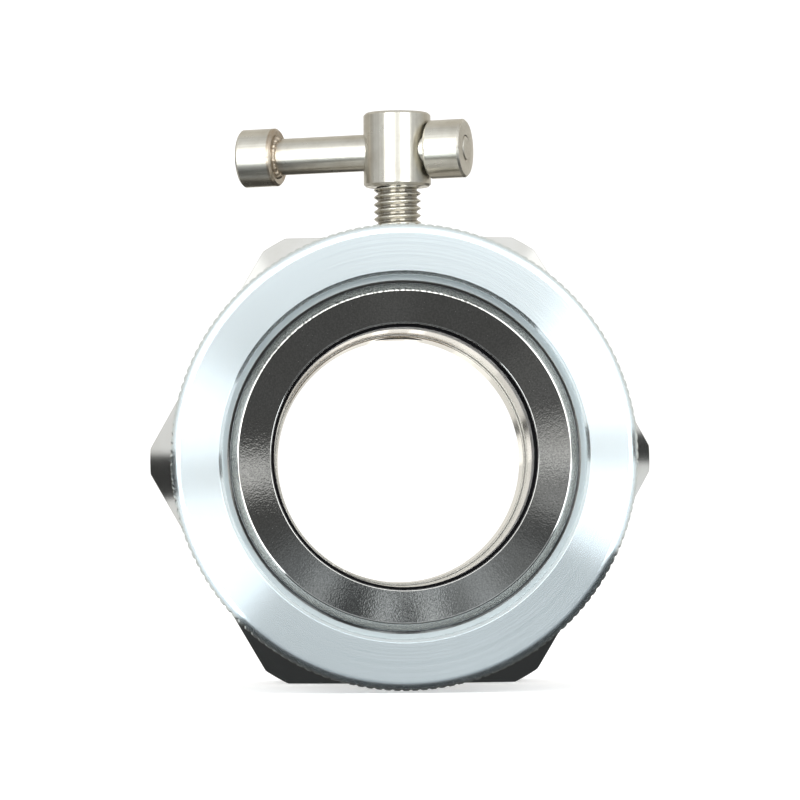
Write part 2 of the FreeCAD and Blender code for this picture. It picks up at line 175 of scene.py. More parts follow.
def rounded(points, steps=ARC_STEPS):
    """Closed outline of (radius, height) or (radius, height, rounding) with its corners rounded."""
    out = []
    for i, point in enumerate(points):
        corner = Vector(point[:2])
        rounding = point[2] if len(point) > 2 else 0.0
        if not rounding:
            out.append((corner.x, corner.y))
            continue
        back = Vector(points[i - 1][:2]) - corner
        ahead = Vector(points[(i + 1) % len(points)][:2]) - corner
        half = back.angle(ahead) / 2
        reach = min(rounding / math.tan(half), 0.45 * back.length, 0.45 * ahead.length)
        rounding = reach * math.tan(half)
        back.normalize()
        ahead.normalize()
        centre = corner + (back + ahead).normalized() * (rounding / math.sin(half))
        start = corner + back * reach - centre
        end = corner + ahead * reach - centre
        first = math.atan2(start.y, start.x)
        sweep = (math.atan2(end.y, end.x) - first + math.pi) % (2 * math.pi) - math.pi
        for step in range(steps + 1):
            angle = first + sweep * step / steps
            out.append((centre.x + rounding * math.cos(angle), centre.y + rounding * math.sin(angle)))
    return out


def rows(outline, index, count):
    """The outline with the run from point index to the next one divided into count parts."""
    r0, h0 = outline[index]
    r1, h1 = outline[index + 1]
    extra = [(r0 + (r1 - r0) * k / count, h0 + (h1 - h0) * k / count) for k in range(1, count)]
    return outline[:index + 1] + extra + outline[index + 1:]


def new_piece(name, vertices, faces, sharp_deg=SHARP_DEG):
    """An object from metre vertices, smooth but for edges sharper than sharp_deg."""
    mesh = bpy.data.meshes.new(name)
    mesh.from_pydata(vertices, [], faces)
    mesh.validate()
    mesh.shade_smooth()
    mesh.set_sharp_from_angle(angle=math.radians(sharp_deg))
    piece = bpy.data.objects.new(name, mesh)
    bpy.context.scene.collection.objects.link(piece)
    return piece


def keep_flats_flat(piece):
    """Area-weighted normals, so that small roundings don't shade the flats beside them."""
    weighted = piece.modifiers.new("weighted_normals", "WEIGHTED_NORMAL")
    weighted.keep_sharp = True
    weighted.weight = 80


def turned(name, outline, place, segments=SEGMENTS, angles=None, shape=None, sharp_deg=SHARP_DEG):
    """Closed solid of revolution from an outline of (radius, height), anticlockwise, in millimetres.
    outline may be a function of the angle, and shape may change (radius, height) at an angle."""
    angles = angles or [2 * math.pi * i / segments for i in range(segments)]
    outline_at = outline if callable(outline) else lambda angle: outline
    on_axis = [radius < 1e-6 for radius, _ in outline_at(0.0)]
    count = len(on_axis)
    vertices, rings, centres = [], [], {}
    for angle in angles:
        ring = []
        for i, (radius, height) in enumerate(outline_at(angle)):
            if on_axis[i] and i in centres:
                ring.append(centres[i])
                continue
            if on_axis[i]:
                centres[i] = len(vertices)
            elif shape:
                radius, height = shape(radius, height, angle)
            ring.append(len(vertices))
            spot = Vector((radius * math.cos(angle), radius * math.sin(angle), height)) * MM
            vertices.append(place @ spot)
        rings.append(ring)
    faces = []
    for j, ring in enumerate(rings):
        ahead = rings[(j + 1) % len(rings)]
        for i in range(count):
            k = (i + 1) % count
            face = list(dict.fromkeys((ring[i], ahead[i], ahead[k], ring[k])))
            if len(face) > 2:
                faces.append(face)
    piece = new_piece(name, vertices, faces, sharp_deg)
    keep_flats_flat(piece)
    return piece


def cut_away(piece, cutter, sharp_deg=SHARP_DEG):
    """Cuts a closed cutter out of a piece and keeps the result in the piece's own mesh."""
    for modifier in list(piece.modifiers):
        piece.modifiers.remove(modifier)
    boolean = piece.modifiers.new("cut", "BOOLEAN")
    boolean.operation = "DIFFERENCE"
    boolean.solver = "EXACT"
    boolean.object = cutter
    bpy.context.view_layer.update()
    evaluated = piece.evaluated_get(bpy.context.evaluated_depsgraph_get())
    mesh = bpy.data.meshes.new_from_object(evaluated)
    piece.modifiers.clear()
    old = piece.data
    piece.data = mesh
    mesh.name = old.name
    bpy.data.meshes.remove(old)
    bpy.data.objects.remove(cutter)
    mesh.shade_smooth()
    mesh.set_sharp_from_angle(angle=math.radians(sharp_deg))
    keep_flats_flat(piece)


def thread_shape(crest_r, thread_depth, pitch, low, high, lead=0.6, inward=True):
    """Shape function for turned(): a right-hand helical V thread on the wall at crest_r."""
    sign = -1 if inward else 1

    def shape(radius, height, angle):
        if abs(radius - crest_r) > 1e-4 or not low <= height <= high:
            return radius, height
        phase = (height / pitch - angle / (2 * math.pi)) % 1.0
        vee = min(max(abs(2 * phase - 1) * 1.25 - 0.125, 0.0), 1.0)
        vee = 0.6 * vee + 0.4 * vee * vee * (3 - 2 * vee)
        ramp = min(1.0, (height - low) / (lead * pitch), (high - height) / (lead * pitch))
        return radius + sign * thread_depth * vee * max(ramp, 0.0), height
    return shape


def stand_for(piece, node, body, material):
    """The piece replaces a node, rides on its body and takes its material."""
    piece.data.materials.clear()
    piece.data.materials.append(material)
    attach(piece, body)
    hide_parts(node)
    return piece


# ---- materials -----------------------------------------------------------------------------------
ALUMINIUM_COLOUR = (0.80, 0.865, 0.885)
ALUMINIUM_DULL = (0.76, 0.83, 0.855)
NICKEL_COLOUR = (0.69, 0.685, 0.665)
NICKEL_DULL = (0.63, 0.62, 0.59)
STEEL_COLOUR = (0.64, 0.62, 0.56)
STEEL_DULL = (0.52, 0.49, 0.43)


class Shader:
    """A Principled material and short calls to build its nodes."""

    def __init__(self, name, colour, metallic, roughness, **extra):
        self.material = bpy.data.materials.new(name)
        self.material.use_nodes = True
        self.tree = self.material.node_tree
        self.bsdf = self.tree.nodes["Principled BSDF"]
        self.bsdf.inputs["Base Color"].default_value = (*colour, 1.0)
        self.bsdf.inputs["Metallic"].default_value = metallic
        self.bsdf.inputs["Roughness"].default_value = roughness
        for socket, value in extra.items():
            self.bsdf.inputs[socket.replace("_", " ")].default_value = value
        self.place = self.node("ShaderNodeTexCoord").outputs["Object"]

    def node(self, kind, **values):
        made = self.tree.nodes.new(kind)
        for key, value in values.items():
            setattr(made, key, value)
        return made

    def link(self, source, target):
        self.tree.links.new(source, target)

    def math(self, operation, first, second=0.0):
        made = self.node("ShaderNodeMath", operation=operation)
        for socket, value in zip(made.inputs, (first, second)):
            if isinstance(value, (int, float)):
                socket.default_value = value
            else:
                self.link(value, socket)
        return made.outputs[0]

    def noise(self, vector, scale, detail=3.0, roughness=0.55, dimensions="3D"):
        made = self.node("ShaderNodeTexNoise", noise_dimensions=dimensions)
        made.inputs["Scale"].default_value = scale
        made.inputs["Detail"].default_value = detail
        made.inputs["Roughness"].default_value = roughness
        self.link(vector, made.inputs["Vector"])
        return made.outputs["Fac"]

    def spread(self, value, low, high, out_low, out_high):
        """Maps a 0-1 value from low..high to out_low..out_high."""
        made = self.node("ShaderNodeMapRange")
        for name, number in (("From Min", low), ("From Max", high),
                             ("To Min", out_low), ("To Max", out_high)):
            made.inputs[name].default_value = number
        self.link(value, made.inputs["Value"])
        return made.outputs["Result"]

    def blend(self, factor, first, second):
        """Mix of two colours."""
        made = self.node("ShaderNodeMix", data_type="RGBA")
        self.link(factor, made.inputs["Factor"])
        for socket, colour in ((made.inputs[6], first), (made.inputs[7], second)):
            if isinstance(colour, tuple):
                socket.default_value = (*colour, 1.0)
            else:
                self.link(colour, socket)
        return made.outputs[2]

    def bump(self, height, strength, distance_mm):
        """Adds a bump on top of those already made."""
        made = self.node("ShaderNodeBump")
        made.inputs["Strength"].default_value = strength
        made.inputs["Distance"].default_value = distance_mm * MM
        self.link(height, made.inputs["Height"])
        if self.bsdf.inputs["Normal"].is_linked:
            self.link(self.bsdf.inputs["Normal"].links[0].from_socket, made.inputs["Normal"])
        self.link(made.outputs["Normal"], self.bsdf.inputs["Normal"])

    def ring_coordinates(self, axis_y=True):
        """(radius in mm, angle, height in mm) about the sight axis or the screw's axis."""
        split = self.node("ShaderNodeSeparateXYZ")
        self.link(self.place, split.inputs[0])
        across = split.outputs["X"]
        other, along = ("Z", "Y") if axis_y else ("Y", "Z")
        squares = self.math("ADD", self.math("MULTIPLY", across, across),
                            self.math("MULTIPLY", split.outputs[other], split.outputs[other]))
        radius = self.math("MULTIPLY", self.math("SQRT", squares), 1 / MM)
        angle = self.math("ARCTAN2", split.outputs[other], across)
        height = self.math("MULTIPLY", split.outputs[along], 1 / MM)
        return radius, angle, height

    def sector(self, angle, low_deg, high_deg, soft_deg=4.0):
        """1 where the angle lies between two bearings; a bearing above 180 wraps round to the low side."""
        low, high, soft = (math.radians(value) for value in (low_deg, high_deg, soft_deg))
        above = self.spread(angle, low - soft, low + soft, 0.0, 1.0)
        if high < math.pi:
            return self.math("MULTIPLY", above, self.spread(angle, high - soft, high + soft, 1.0, 0.0))
        high -= 2 * math.pi
        return self.math("ADD", above, self.spread(angle, high - soft, high + soft, 1.0, 0.0))

    def vector(self, x, y, z=0.0):
        made = self.node("ShaderNodeCombineXYZ")
        for socket, value in zip(made.inputs, (x, y, z)):
            if isinstance(value, (int, float)):
                socket.default_value = value
            else:
                self.link(value, socket)
        return made.outputs[0]

    def radial_tangent(self, axis):
        made = self.node("ShaderNodeTangent", direction_type="RADIAL", axis=axis)
        self.link(made.outputs[0], self.bsdf.inputs["Tangent"])


def turned_aluminium():
    """Satin turned aluminium; its reflections are drawn out across the turning marks."""
    shader = Shader("turned_aluminium", ALUMINIUM_COLOUR, 1.0, 0.19,
                    Anisotropic=1.0, Anisotropic_Rotation=0.25)
    shader.radial_tangent("Y")
    radius, angle, height = shader.ring_coordinates()
    marks = shader.noise(shader.vector(shader.math("MULTIPLY", radius, 6.0),
                                       shader.math("MULTIPLY", angle, 0.4),
                                       shader.math("MULTIPLY", height, 6.0)), 1.0, 4.0)
    blotch = shader.noise(shader.place, 70.0, 4.0)
    shader.link(shader.spread(shader.math("ADD", shader.math("MULTIPLY", marks, 0.6),
                                          shader.math("MULTIPLY", blotch, 0.4)), 0.3, 0.7, 0.18, 0.205),
                shader.bsdf.inputs["Roughness"])
    patches = shader.blend(shader.spread(blotch, 0.35, 0.7, 0.0, 1.0), ALUMINIUM_COLOUR, ALUMINIUM_DULL)
    lines = shader.blend(shader.spread(marks, 0.35, 0.7, 0.0, 1.0), patches, (0.655, 0.725, 0.755))
    shader.link(lines, shader.bsdf.inputs["Base Color"])
    shader.bump(marks, 0.16, 0.008)
    return shader.material


def nickel(name, roughness, peel, anisotropy=0.0):
    shader = Shader(name, NICKEL_COLOUR, 1.0, roughness, Anisotropic=anisotropy,
                    Anisotropic_Rotation=0.25)
    shader.radial_tangent("Y")
    radius, angle, height = shader.ring_coordinates()
    marks = shader.noise(shader.vector(shader.math("MULTIPLY", radius, 5.0),
                                       shader.math("MULTIPLY", angle, 1.5),
                                       shader.math("MULTIPLY", height, 5.0)), 1.0, 3.0)
    orange_peel = shader.noise(shader.place, 3600.0, 2.0)
    haze = shader.noise(shader.place, 140.0, 4.0)
    shader.link(shader.spread(haze, 0.35, 0.75, roughness * 0.96, roughness * 1.06),
                shader.bsdf.inputs["Roughness"])
    colour = shader.blend(shader.spread(haze, 0.3, 0.7, 0.0, 1.0), NICKEL_COLOUR, NICKEL_DULL)
    shader.bump(orange_peel, peel, 0.02)
    shader.bump(marks, 0.06, 0.008)
    return shader, colour, radius, angle


def body_nickel():
    """Bright nickel; the tube socket's wall carries painted shade in dark brown along its top; the chamber's
    wall is duller.
    """
    shader, colour, radius, angle = nickel("body_nickel", 0.09, 0.04)
    inside = shader.spread(radius, CHAMBER_R - 0.12, CHAMBER_R - 0.05, 1.0, 0.0)
    # painted shade: the socket's wall is painted dark brown between bearings 58 and 160, along the top
    above = shader.math("MULTIPLY", shader.spread(angle, math.radians(58), math.radians(68), 0.0, 1.0),
                        shader.spread(angle, math.radians(148), math.radians(160), 1.0, 0.0))
    socket_wall_with_painted_shade = shader.blend(above, (0.66, 0.65, 0.58), (0.20, 0.16, 0.11))
    colour = shader.blend(inside, colour, socket_wall_with_painted_shade)
    shader.link(colour, shader.bsdf.inputs["Base Color"])
    return shader.material


def gland_nickel():
    """Bright nickel with turning marks; painted shade darkens the bore's edge and the corner by the washer,
    and dark nicks on the nose's edge along the top are partly wear, partly painted shade.
    """
    shader, colour, radius, angle = nickel("gland_nickel", 0.028, 0.075, 0.5)
    # painted shade: the flange face in the corner by the washer is painted near-black
    corner = shader.math("MULTIPLY",
                         shader.spread(radius, GLAND_NOSE_R + 0.03, GLAND_NOSE_R + 0.08, 0.0, 1.0),
                         shader.spread(radius, GLAND_NOSE_R + 0.3, GLAND_NOSE_R + 0.5, 1.0, 0.0))
    colour = shader.blend(corner, colour, (0.10, 0.105, 0.11))
    speckle = shader.spread(shader.noise(shader.place, 4200.0, 2.0), 0.36, 0.64, 0.0, 0.5)
    colour = shader.blend(speckle, colour, (0.40, 0.40, 0.385))
    # painted shade: the bore's edge and wall are painted near-black all round
    painted_bore_shade = shader.spread(radius, GLAND_INNER_R + 0.1, GLAND_INNER_R + 0.2, 0.7, 0.0)
    colour = shader.blend(painted_bore_shade, colour, (0.10, 0.10, 0.10))
    # dark nicks on the nose's edge, kept to the top between bearings 60 and 150: partly wear, partly painted
    # shade
    nicks_and_painted_shade = shader.spread(shader.noise(shader.place, 2300.0, 3.0), 0.42, 0.58, 0.0, 0.9)
    edge = shader.math("MULTIPLY", shader.spread(radius, GLAND_NOSE_R - 1.4, GLAND_NOSE_R - 1.3, 0.0, 1.0),
                       shader.spread(radius, GLAND_NOSE_R - 0.85, GLAND_NOSE_R - 0.7, 1.0, 0.0))
    above = shader.sector(angle, 60, 150)
    colour = shader.blend(shader.math("MULTIPLY", shader.math("MULTIPLY", edge, nicks_and_painted_shade), above), colour,
                          (0.16, 0.16, 0.15))
    shader.link(colour, shader.bsdf.inputs["Base Color"])
    chamfer_low = GLAND_NOSE_R - GLAND_NOSE_CHAMFER
    chamfer = shader.math("MULTIPLY", shader.spread(radius, chamfer_low + 0.1, chamfer_low + 0.2, 0.0, 1.0),
                          shader.spread(radius, GLAND_NOSE_R - 0.1, GLAND_NOSE_R, 1.0, 0.0))
    rough = shader.bsdf.inputs["Roughness"].links[0].from_socket
    dull = shader.math("MULTIPLY", chamfer, 0.2)
    shader.link(shader.math("ADD", rough, dull), shader.bsdf.inputs["Roughness"])
    return shader.material


def stainless(name, axis, heat_tint=False):
    """Turned stainless steel; its reflections are drawn out along the axis of turning."""
    shader = Shader(name, STEEL_COLOUR, 1.0, 0.3, Anisotropic=0.8)
    to_world = shader.node("ShaderNodeVectorTransform", vector_type="VECTOR", convert_from="OBJECT",
                           convert_to="WORLD")
    to_world.inputs[0].default_value = axis + Vector((0.02, 0.03, 0.05))
    shader.link(to_world.outputs[0], shader.bsdf.inputs["Tangent"])
    along = shader.node("ShaderNodeVectorMath", operation="DOT_PRODUCT")
    shader.link(shader.place, along.inputs[0])
    along.inputs[1].default_value = axis
    run = shader.math("MULTIPLY", along.outputs["Value"], 1 / MM)
    across = shader.node("ShaderNodeVectorMath", operation="CROSS_PRODUCT")
    shader.link(shader.place, across.inputs[0])
    across.inputs[1].default_value = axis
    marks = shader.noise(shader.vector(shader.math("MULTIPLY", run, 14.0), 0.0), 1.0, 3.0)
    streaks = shader.noise(across.outputs[0], 2600.0, 3.0)
    smudge = shader.noise(shader.place, 260.0, 5.0, 0.65)
    colour = shader.blend(shader.spread(smudge, 0.45, 0.75, 0.0, 1.0), STEEL_COLOUR, STEEL_DULL)
    colour = shader.blend(shader.spread(streaks, 0.36, 0.64, 0.0, 0.35), colour, (0.40, 0.38, 0.33))
    rough = shader.spread(smudge, 0.3, 0.75, 0.26, 0.36)
    if not heat_tint:
        radius, _, _ = shader.ring_coordinates(axis_y=False)
        rough = shader.math("MULTIPLY", rough, shader.spread(radius, SCREW_R + 0.1, SCREW_R + 0.3, 0.45, 1.0))
        # painted shade: the thread's roots are painted darker
        painted_root_shade = shader.spread(radius, SCREW_R - SCREW_THREAD_DEPTH, SCREW_R - 0.1, 1.0, 0.0)
        colour = shader.blend(painted_root_shade, colour, (0.38, 0.36, 0.32))
    shader.link(rough, shader.bsdf.inputs["Roughness"])
    if heat_tint:
        bar_side_of_weld = shader.spread(run, WELDED_CAP_FACE - 0.2, WELDED_CAP_FACE, 0.0, 1.0)
        off_weld = shader.spread(run, WELDED_CAP_FACE + 0.6, WELDED_CAP_FACE + 2.4, 1.0, 0.0)
        near = shader.math("MULTIPLY", shader.math("MULTIPLY", bar_side_of_weld, off_weld),
                           shader.spread(smudge, 0.3, 0.6, 0.3, 0.9))
        colour = shader.blend(near, colour, (0.36, 0.28, 0.20))
    shader.link(colour, shader.bsdf.inputs["Base Color"])
    shader.bump(marks, 0.10, 0.008)
    shader.bump(streaks, 0.22, 0.006)
    return shader.material


def plain_metal(name, colour, roughness):
    shader = Shader(name, colour, 1.0, roughness)
    grain = shader.noise(shader.place, 1400.0, 3.0)
    haze = shader.noise(shader.place, 180.0, 4.0)
    dark = tuple(channel * 0.82 for channel in colour)
    shader.link(shader.blend(shader.spread(haze, 0.35, 0.7, 0.0, 1.0), colour, dark),
                shader.bsdf.inputs["Base Color"])
    shader.link(shader.spread(haze, 0.3, 0.7, roughness * 0.8, roughness * 1.4),
                shader.bsdf.inputs["Roughness"])
    shader.bump(grain, 0.15, 0.01)
    return shader.material


def soft_material(name, colour, roughness, grain_scale, grain_strength):
    shader = Shader(name, colour, 0.0, roughness)
    grain = shader.noise(shader.place, grain_scale, 4.0)
    bloom = shader.noise(shader.place, 220.0, 3.0)
    light = tuple(min(channel * 1.25 + 0.004, 1.0) for channel in colour)
    shader.link(shader.blend(shader.spread(bloom, 0.4, 0.75, 0.0, 1.0), colour, light),
                shader.bsdf.inputs["Base Color"])
    shader.link(shader.spread(bloom, 0.3, 0.7, roughness * 0.85, roughness * 1.15),
                shader.bsdf.inputs["Roughness"])
    shader.bump(grain, grain_strength, 0.02)
    return shader.material


def clear_glass():
    shader = Shader("clear_glass", (1.0, 1.0, 1.0), 0.0, 0.0, Transmission_Weight=1.0, IOR=1.47)
    dust = shader.noise(shader.place, 700.0, 4.0)
    shader.link(shader.spread(dust, 0.6, 0.9, 0.0, 0.03), shader.bsdf.inputs["Roughness"])
    return shader.material


ALUMINIUM = turned_aluminium()
BODY_NICKEL = body_nickel()
GLAND_NICKEL = gland_nickel()
SCREW_STEEL = stainless("screw_stainless", UP)
BAR_STEEL = stainless("bar_stainless", BAR_AXIS, heat_tint=True)
WASHER_STEEL = plain_metal("washer_steel", (0.42, 0.46, 0.47), 0.36)
WELD_METAL = plain_metal("weld_metal", (0.40, 0.34, 0.27), 0.38)
WIRE_STEEL = plain_metal("spring_wire", (0.56, 0.56, 0.56), 0.28)
PAD_BRASS = plain_metal("pad_brass", (0.80, 0.62, 0.30), 0.26)
RUBBER = soft_material("black_rubber", (0.006, 0.006, 0.007), 0.75, 2600.0, 0.25)
RUBBER.node_tree.nodes["Principled BSDF"].inputs["Specular IOR Level"].default_value = 0.05
PTFE = soft_material("ptfe", (0.86, 0.85, 0.82), 0.42, 1500.0, 0.08)
FIBRE = soft_material("fibre_gasket", (0.72, 0.70, 0.63), 0.7, 3200.0, 0.35)
GLASS = clear_glass()


# ---- hexagonal body ------------------------------------------------------------------------------
HEX_TURN_HALF = math.acos(HEX_FLAT / HEX_CORNER_R)


def hex_radius(angle):
    """Distance from the sight axis to the hexagon's side, with its turned corners."""
    off_flat = (angle % (math.pi / 3)) - math.pi / 6
    flat = HEX_FLAT / math.cos(off_flat)
    sharpness = 0.03
    lower = min(flat, HEX_CORNER_R)
    return lower - sharpness * math.exp(-abs(flat - HEX_CORNER_R) / (2 * sharpness))


def hex_outline(angle):
    """Section of the hexagonal body through the sight axis, at an angle."""
    side = hex_radius(angle)
    fall = (side - HEX_CHAMFER_R) * HEX_CHAMFER_SLOPE
    groove_in = SEAL_RING_R - SEAL_GROOVE_HALF
    groove_out = SEAL_RING_R + SEAL_GROOVE_HALF
    return rounded([
        (SOCKET_R + 1.0, 0.0, FINE_EDGE), (SOCKET_R + 1.0 + SUPPORT, 0.0), (groove_in - SUPPORT, 0.0),
        (groove_in, 0.0, FINE_EDGE), (groove_in, SEAL_GROOVE_DEPTH), (groove_out, SEAL_GROOVE_DEPTH),
        (groove_out, 0.0, FINE_EDGE), (groove_out + SUPPORT, 0.0), (HEX_CHAMFER_R, 0.0, SOFT_EDGE),
        (side, fall, SOFT_EDGE), (side, HEX_THICK - fall, SOFT_EDGE), (HEX_CHAMFER_R, HEX_THICK, SOFT_EDGE),
        (TAIL_R + 0.8, HEX_THICK, FINE_EDGE), (TAIL_R, HEX_THICK - 0.8, FINE_EDGE),
        (TAIL_R, SOCKET_DEPTH), (SOCKET_R, SOCKET_DEPTH, FINE_EDGE), (SOCKET_R, SOCKET_DEPTH - SUPPORT),
        (SOCKET_R, 1.0 + SUPPORT), (SOCKET_R, 1.0, FINE_EDGE)])


def hex_angles():
    """Section angles: even steps, closer where a flat meets a turned corner."""
    steps = []
    for flat in range(6):
        middle = math.pi / 6 + flat * math.pi / 3
        half = [HEX_TURN_HALF * k / 24 for k in range(24)]
        half += [HEX_TURN_HALF + 0.0025 * k for k in (-2, -1, 0, 1, 2)]
        half += [HEX_TURN_HALF + (math.pi / 6 - HEX_TURN_HALF) * k / 5 for k in range(1, 6)]
        steps += [middle + off for off in half] + [middle - off for off in half if off > 0]
    return sorted({round(angle % (2 * math.pi), 9) for angle in steps})


def make_hex_body():
    piece = turned("hexagonal_body", hex_outline, SIGHT_PLACE, angles=hex_angles())
    hole = turned("hole_cutter", [(0, 0), (SCREW_HOLE_R, 0), (SCREW_HOLE_R, HEX_FLAT - 0.8),
                                  (SCREW_HOLE_R + 1.8, HEX_FLAT + 1), (0, HEX_FLAT + 1)],
                  SCREW_PLACE, segments=64)
    cut_away(piece, hole)
    stand_for(piece, "hex_body", "body", BODY_NICKEL)


# ---- neck, glass stack, gland ring ---------------------------------------------------------------
def make_neck():
    relief_r = NECK_THREAD_R - NECK_THREAD_DEPTH - 0.2
    thread_low = COLLAR_FRONT + NECK_RELIEF
    thread_high = NECK_FRONT - 1.0
    outline = rounded([
        (CHAMBER_R, TAIL_END, FINE_EDGE), (TAIL_RELIEF_R, TAIL_END, FINE_EDGE), (TAIL_R, TAIL_END + 0.8),
        (TAIL_R, COLLAR_BACK), (COLLAR_R, COLLAR_BACK, 0.4), (COLLAR_R, COLLAR_FRONT - 0.8, FINE_EDGE),
        (COLLAR_R - 0.8, COLLAR_FRONT, FINE_EDGE), (relief_r, COLLAR_FRONT, 0.3),
        (relief_r, thread_low - 0.3, FINE_EDGE)])
    thread_rows = int((thread_high - thread_low) / NECK_PITCH * 28)
    outline += [(NECK_THREAD_R, thread_low + (thread_high - thread_low) * k / thread_rows)
                for k in range(thread_rows + 1)]
    outline += rounded([
        (CHAMBER_R, thread_high), (NECK_THREAD_R - 1.0, NECK_FRONT, FINE_EDGE),
        (COUNTERBORE_R + 0.4, NECK_FRONT), (COUNTERBORE_R, NECK_FRONT - 0.4),
        (COUNTERBORE_R, GLASS_SEAT), (CHAMBER_R + 0.1, GLASS_SEAT, FINE_EDGE)])[1:]
    thread = thread_shape(NECK_THREAD_R, NECK_THREAD_DEPTH, NECK_PITCH, thread_low - 1, thread_high + 1)
    piece = turned("sight_neck_turned", outline, SIGHT_PLACE, segments=360, shape=thread,
                   sharp_deg=THREAD_SHARP_DEG)
    stand_for(piece, "sight_neck", "body", BODY_NICKEL)


def make_glass_stack():
    back, front = depth(GLASS_HIGH.y), depth(GLASS_LOW.y)
    glass_r = GLASS_HIGH.x / MM
    glass = turned("glass_disc",
                   rounded([(0, back), (glass_r, back, 0.4), (glass_r, front, 0.4), (0, front)]),
                   SIGHT_PLACE)
    stand_for(glass, "sight_disc", "body", GLASS)
    gasket_back, gasket_front = depth(GASKET_HIGH.y), depth(GASKET_LOW.y)
    outer = GASKET_HIGH.x / MM
    gasket = turned("front_gasket_ring", rounded([
        (GASKET_INNER_R, gasket_back, FINE_EDGE), (outer, gasket_back, 0.12), (outer, GLAND_BACK, 0.12),
        (GASKET_LIP_OUTER_R, GLAND_BACK, FINE_EDGE), (GASKET_LIP_OUTER_R, gasket_front, FINE_EDGE),
        (GASKET_LIP_INNER_R, gasket_front, FINE_EDGE)]), SIGHT_PLACE)
    stand_for(gasket, "front_gasket", "body", RUBBER)


def make_gland():
    piece = turned("gland_ring_turned", rounded([
        (GLAND_INNER_R, GLAND_STEP), (GLAND_STEP_R, GLAND_STEP), (GLAND_STEP_R, GLAND_BACK, FINE_EDGE),
        (GLAND_PILOT_R, GLAND_BACK, SOFT_EDGE),
        (GLAND_PILOT_R, GLAND_FLANGE_BACK), (GLAND_FLANGE_R, GLAND_FLANGE_BACK, FINE_EDGE),
        (GLAND_FLANGE_R, GLAND_FLANGE_FRONT, FINE_EDGE), (GLAND_NOSE_R, GLAND_FLANGE_FRONT, 0.2),
        (GLAND_NOSE_R, GLAND_FRONT - GLAND_NOSE_CHAMFER, FINE_EDGE),
        (GLAND_NOSE_R - GLAND_NOSE_CHAMFER, GLAND_FRONT, 0.5),
        (GLAND_INNER_R, GLAND_FRONT, 0.2)]), SIGHT_PLACE, segments=360)
    stand_for(piece, "gland_ring", "gland", GLAND_NICKEL)


# ---- knurled ring nut ----------------------------------------------------------------------------
def make_ring_nut():
    outline = rounded([
        (NUT_BORE_R + 0.8, NUT_BACK, FINE_EDGE), (NUT_CREST_R - 1.0, NUT_BACK, FINE_EDGE),
        (NUT_CREST_R, NUT_BACK + 1.0), (NUT_CREST_R, NUT_FRONT, NUT_EDGE_ROUND),
        (NUT_LIP_R + NUT_LIP_CHAMFER, NUT_FRONT, FINE_EDGE),
        (NUT_LIP_R, NUT_FRONT - NUT_LIP_CHAMFER, FINE_EDGE), (NUT_LIP_R, NUT_LIP_BACK, FINE_EDGE),
        (NUT_BORE_R, NUT_LIP_BACK), (NUT_BORE_R, WIRE_GROOVE[1], FINE_EDGE), (WIRE_GROOVE_R, WIRE_GROOVE[1]),
        (WIRE_GROOVE_R, WIRE_GROOVE[0]), (NUT_BORE_R, WIRE_GROOVE[0], FINE_EDGE),
        (NUT_BORE_R, NUT_BACK + 0.8)], steps=9)
    crest_top = next(i for i, (r, h) in enumerate(outline) if r > NUT_CREST_R - 1e-6)
    outline = rows(outline, crest_top - 1, 8)
    root_r = NUT_CREST_R - NUT_KNURL_DEPTH

    def knurl(radius, height, angle):
        phase = abs(2 * ((angle * NUT_TEETH / (2 * math.pi)) % 1.0) - 1)
        tooth = root_r + NUT_KNURL_DEPTH * min(max((phase - 0.1) / 0.35, 0.0), 1.0)
        return (min(radius, tooth) if radius > root_r else radius), height

    piece = turned("knurled_ring_nut", outline, SIGHT_PLACE, segments=NUT_TEETH * 8, shape=knurl)
    stand_for(piece, "ring_nut", "nut", ALUMINIUM)


